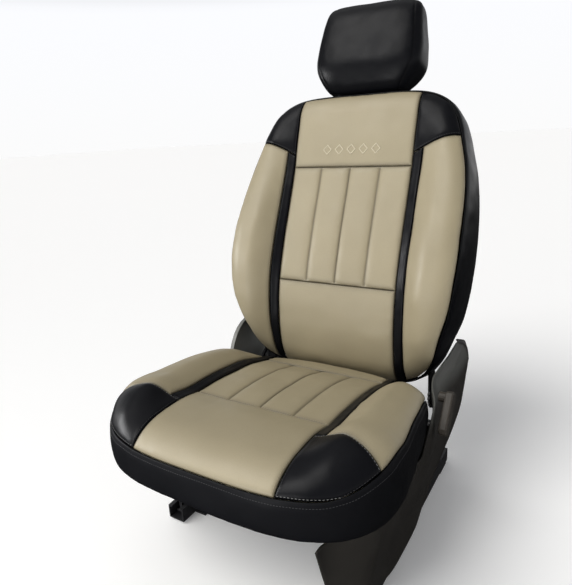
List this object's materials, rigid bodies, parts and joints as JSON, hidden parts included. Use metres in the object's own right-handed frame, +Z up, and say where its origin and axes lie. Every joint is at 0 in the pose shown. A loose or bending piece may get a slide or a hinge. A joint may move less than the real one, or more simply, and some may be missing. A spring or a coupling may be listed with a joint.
{
  "type": "seat cover set",
  "caption": "Two-tone padded leatherette cover set fitted on a front vehicle seat with headrest, reclining backrest, floor slides, side shields and belt buckle.",
  "frame": {"origin": "on the floor, under the centre of the bounding box", "axes": "+Z up, -Y the way the sitter faces, +X the sitter's left, the side with the recline lever"},
  "size_m": [0.543, 0.7356, 0.9663],
  "materials": {
    "beige_leatherette": "satin",
    "black_leatherette": "satin",
    "foam": "matte",
    "black_steel": "satin",
    "bright_steel": "polished",
    "dark_plastic": "grained",
    "grey_plastic": "grained",
    "black_plastic": "satin",
    "red_plastic": "gloss",
    "webbing": "woven"
  },
  "bodies": {
    "floor_rails": {"lower_rail_left": "black_steel", "lower_rail_right": "black_steel"},
    "seat_base": {"cushion_front_panel": "beige_leatherette", "cushion_fluted_panel": "beige_leatherette", "cushion_rear_panel": "beige_leatherette", "cushion_strip_left": "black_leatherette", "cushion_strip_right": "black_leatherette", "cushion_bolster_left": "beige_leatherette", "cushion_bolster_right": "beige_leatherette", "cushion_corner_left": "black_leatherette", "cushion_corner_right": "black_leatherette", "cushion_border": "black_leatherette", "cover_strap_front": "webbing", "cover_strap_rear": "webbing", "cushion_foam": "foam", "cushion_pan": "black_steel", "recliner_drum_left": "black_steel", "recliner_drum_right": "black_steel", "upper_rail_left": "black_steel", "upper_rail_right": "black_steel", "side_frame_left": "black_steel", "side_frame_right": "black_steel", "front_cross_tube": "black_steel", "rear_cross_tube": "black_steel", "side_shield": "dark_plastic", "inner_shield": "grey_plastic", "buckle_anchor": "black_steel"},
    "backrest": {"back_lumbar_panel": "beige_leatherette", "back_fluted_panel": "beige_leatherette", "back_yoke_panel": "beige_leatherette", "back_strip_left": "black_leatherette", "back_strip_right": "black_leatherette", "back_bolster_left": "beige_leatherette", "back_bolster_right": "beige_leatherette", "back_shoulder_left": "black_leatherette", "back_shoulder_right": "black_leatherette", "back_border": "black_leatherette", "back_rear_panel": "black_leatherette", "back_foam": "foam", "back_frame": "black_steel", "back_spring_wire": "bright_steel", "recliner_plate_left": "black_steel", "recliner_plate_right": "black_steel", "headrest_guide_left": "dark_plastic", "headrest_guide_right": "dark_plastic"},
    "headrest": {"headrest_front_panel": "black_leatherette", "headrest_rear_panel": "black_leatherette", "headrest_side_left": "black_leatherette", "headrest_side_right": "black_leatherette", "headrest_foam": "foam", "headrest_posts": "bright_steel"},
    "headrest_lock": {"headrest_lock_button": "dark_plastic"},
    "recline_lever": {"recline_lever": "dark_plastic"},
    "slide_release": {"slide_release_bar": "black_steel"},
    "buckle": {"buckle_stalk": "black_steel", "buckle_housing": "black_plastic"},
    "buckle_release": {"buckle_button": "red_plastic"}
  },
  "joints": [
    {"name": "seat_slide", "type": "slide", "parent": "floor_rails", "child": "seat_base", "axis": [0, -1, 0], "range_m": [-0.1, 0.1]},
    {"name": "backrest_recline", "type": "hinge", "parent": "seat_base", "child": "backrest", "pos_m": [0, 0.15923, 0.19], "axis": [-1, 0, 0], "range_deg": [-9, 45]},
    {"name": "headrest_height", "type": "slide", "parent": "backrest", "child": "headrest", "axis": [0, 0.309, 0.9511], "range_m": [0, 0.07]},
    {"name": "headrest_lock_press", "type": "slide", "parent": "backrest", "child": "headrest_lock", "axis": [-1, 0, 0], "range_m": [0, 0.003], "stiffness_N_per_m": 400},
    {"name": "recline_lever_lift", "type": "hinge", "parent": "seat_base", "child": "recline_lever", "pos_m": [0.26, 0.00923, 0.26], "axis": [-1, 0, 0], "range_deg": [0, 30], "stiffness_Nm_per_rad": 2},
    {"name": "slide_release_lift", "type": "hinge", "parent": "seat_base", "child": "slide_release", "pos_m": [0, -0.11077, 0.078], "axis": [-1, 0, 0], "range_deg": [0, 8], "stiffness_Nm_per_rad": 8},
    {"name": "buckle_swing", "type": "hinge", "parent": "seat_base", "child": "buckle", "pos_m": [-0.2585, -0.02077, 0.14], "axis": [1, 0, 0], "range_deg": [-15, 20]},
    {"name": "buckle_button_press", "type": "slide", "parent": "buckle", "child": "buckle_release", "axis": [0, 0, -1], "range_m": [0, 0.006], "stiffness_N_per_m": 500}
  ]
}
